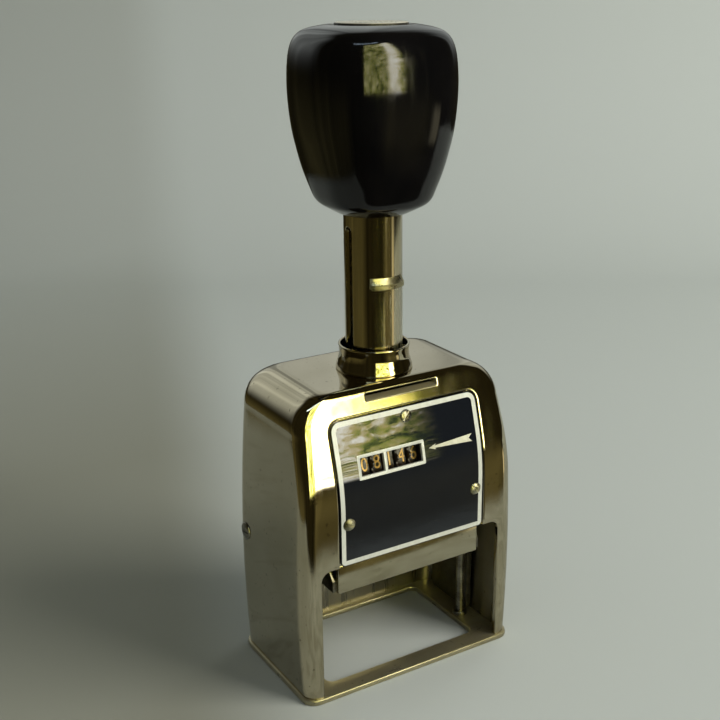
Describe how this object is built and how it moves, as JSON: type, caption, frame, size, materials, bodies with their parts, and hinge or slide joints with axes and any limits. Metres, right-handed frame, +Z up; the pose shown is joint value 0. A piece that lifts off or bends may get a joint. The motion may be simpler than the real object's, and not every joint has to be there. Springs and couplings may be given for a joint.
{
  "type": "hand numbering machine",
  "caption": "Self-inking hand numbering machine: palm knob on a sprung stem, plated housing with reading windows, geared type wheels and an ink pad that swings away.",
  "frame": {"origin": "centre of the base, on the surface that it stands on, under the stem", "axes": "+Z up along the stem, -Y to the front with the reading windows, +X to the right seen from the front"},
  "size_m": [0.0642, 0.0376, 0.1605],
  "materials": {
    "nickel_plate": "polished nickel plate, lightly worn",
    "steel": "plain steel",
    "brass": "turned brass",
    "black_enamel": "gloss black enamel with a pale printed border",
    "black_gloss": "polished black plastic",
    "ivory_plastic": "satin ivory",
    "felt": "ink-soaked felt",
    "type_metal": "ink-darkened type metal",
    "dark_wheel": "dark lacquer with gold figures"
  },
  "bodies": {
    "frame": {"housing": "nickel_plate", "base_ring": "nickel_plate", "face_plate": "black_enamel", "neck_collar": "nickel_plate", "plate_screw_top": "steel", "plate_screw_left": "steel", "plate_screw_right": "steel", "side_screw_left": "steel", "side_screw_right": "steel", "guide_rod_left": "steel", "guide_rod_right": "steel", "cam_plate_left": "steel", "cam_plate_right": "steel", "cross_pin": "steel", "spring_seat": "steel", "return_spring": "steel"},
    "plunger": {"knob": "black_gloss", "knob_cap": "ivory_plastic", "stem_tube": "nickel_plate", "stem_plug": "steel", "carriage_bridge": "steel", "carriage_cheek_left": "steel", "carriage_cheek_right": "steel", "print_shaft": "steel", "print_spacer_left": "brass", "print_spacer_right": "brass", "reading_shaft": "steel", "reading_spacer_left": "brass", "reading_spacer_right": "brass"},
    "pad_swing": {"pad_tray": "nickel_plate", "ink_pad": "felt", "pad_arm_left": "steel", "pad_arm_right": "steel", "pad_follower_left": "steel", "pad_follower_right": "steel"},
    "print_wheel_1": {"print_wheel_1": "type_metal"},
    "print_wheel_2": {"print_wheel_2": "type_metal"},
    "print_wheel_3": {"print_wheel_3": "type_metal"},
    "print_wheel_4": {"print_wheel_4": "type_metal"},
    "print_wheel_5": {"print_wheel_5": "type_metal"},
    "reading_wheel_1": {"reading_wheel_1": "dark_wheel"},
    "reading_wheel_2": {"reading_wheel_2": "dark_wheel"},
    "reading_wheel_3": {"reading_wheel_3": "dark_wheel"},
    "reading_wheel_4": {"reading_wheel_4": "dark_wheel"},
    "reading_wheel_5": {"reading_wheel_5": "dark_wheel"}
  },
  "joints": [
    {"name": "plunger_slide", "type": "slide", "parent": "frame", "child": "plunger", "axis": [0, 0, -1], "range_m": [0, 0.0315], "stiffness_N_per_m": 400, "springref_m": -0.02, "deforming": ["return_spring"]},
    {"name": "pad_hinge", "type": "hinge", "parent": "plunger", "child": "pad_swing", "pos_m": [0, -0.004, 0.0406], "axis": [1, 0, 0], "range_deg": [0, 118]},
    {"name": "print_wheel_1_spin", "type": "hinge", "parent": "plunger", "child": "print_wheel_1", "pos_m": [-0.0114, -0.004, 0.0406], "axis": [1, 0, 0], "continuous": true},
    {"name": "print_wheel_2_spin", "type": "hinge", "parent": "plunger", "child": "print_wheel_2", "pos_m": [-0.0079, -0.004, 0.0406], "axis": [1, 0, 0], "continuous": true},
    {"name": "print_wheel_3_spin", "type": "hinge", "parent": "plunger", "child": "print_wheel_3", "pos_m": [-0.0044, -0.004, 0.0406], "axis": [1, 0, 0], "continuous": true},
    {"name": "print_wheel_4_spin", "type": "hinge", "parent": "plunger", "child": "print_wheel_4", "pos_m": [-0.0009, -0.004, 0.0406], "axis": [1, 0, 0], "continuous": true},
    {"name": "print_wheel_5_spin", "type": "hinge", "parent": "plunger", "child": "print_wheel_5", "pos_m": [0.0026, -0.004, 0.0406], "axis": [1, 0, 0], "continuous": true},
    {"name": "reading_wheel_1_spin", "type": "hinge", "parent": "plunger", "child": "reading_wheel_1", "pos_m": [-0.0114, -0.00739, 0.05726], "axis": [1, 0, 0], "continuous": true},
    {"name": "reading_wheel_2_spin", "type": "hinge", "parent": "plunger", "child": "reading_wheel_2", "pos_m": [-0.0079, -0.00739, 0.05726], "axis": [1, 0, 0], "continuous": true},
    {"name": "reading_wheel_3_spin", "type": "hinge", "parent": "plunger", "child": "reading_wheel_3", "pos_m": [-0.0044, -0.00739, 0.05726], "axis": [1, 0, 0], "continuous": true},
    {"name": "reading_wheel_4_spin", "type": "hinge", "parent": "plunger", "child": "reading_wheel_4", "pos_m": [-0.0009, -0.00739, 0.05726], "axis": [1, 0, 0], "continuous": true},
    {"name": "reading_wheel_5_spin", "type": "hinge", "parent": "plunger", "child": "reading_wheel_5", "pos_m": [0.0026, -0.00739, 0.05726], "axis": [1, 0, 0], "continuous": true}
  ],
  "couplings": [
    {"joint": "pad_hinge", "follows": "plunger_slide", "rad_per_m": 65.37},
    {"joint": "reading_wheel_1_spin", "follows": "print_wheel_1_spin", "ratio": -1},
    {"joint": "reading_wheel_2_spin", "follows": "print_wheel_2_spin", "ratio": -1},
    {"joint": "reading_wheel_3_spin", "follows": "print_wheel_3_spin", "ratio": -1},
    {"joint": "reading_wheel_4_spin", "follows": "print_wheel_4_spin", "ratio": -1},
    {"joint": "reading_wheel_5_spin", "follows": "print_wheel_5_spin", "ratio": -1}
  ]
}
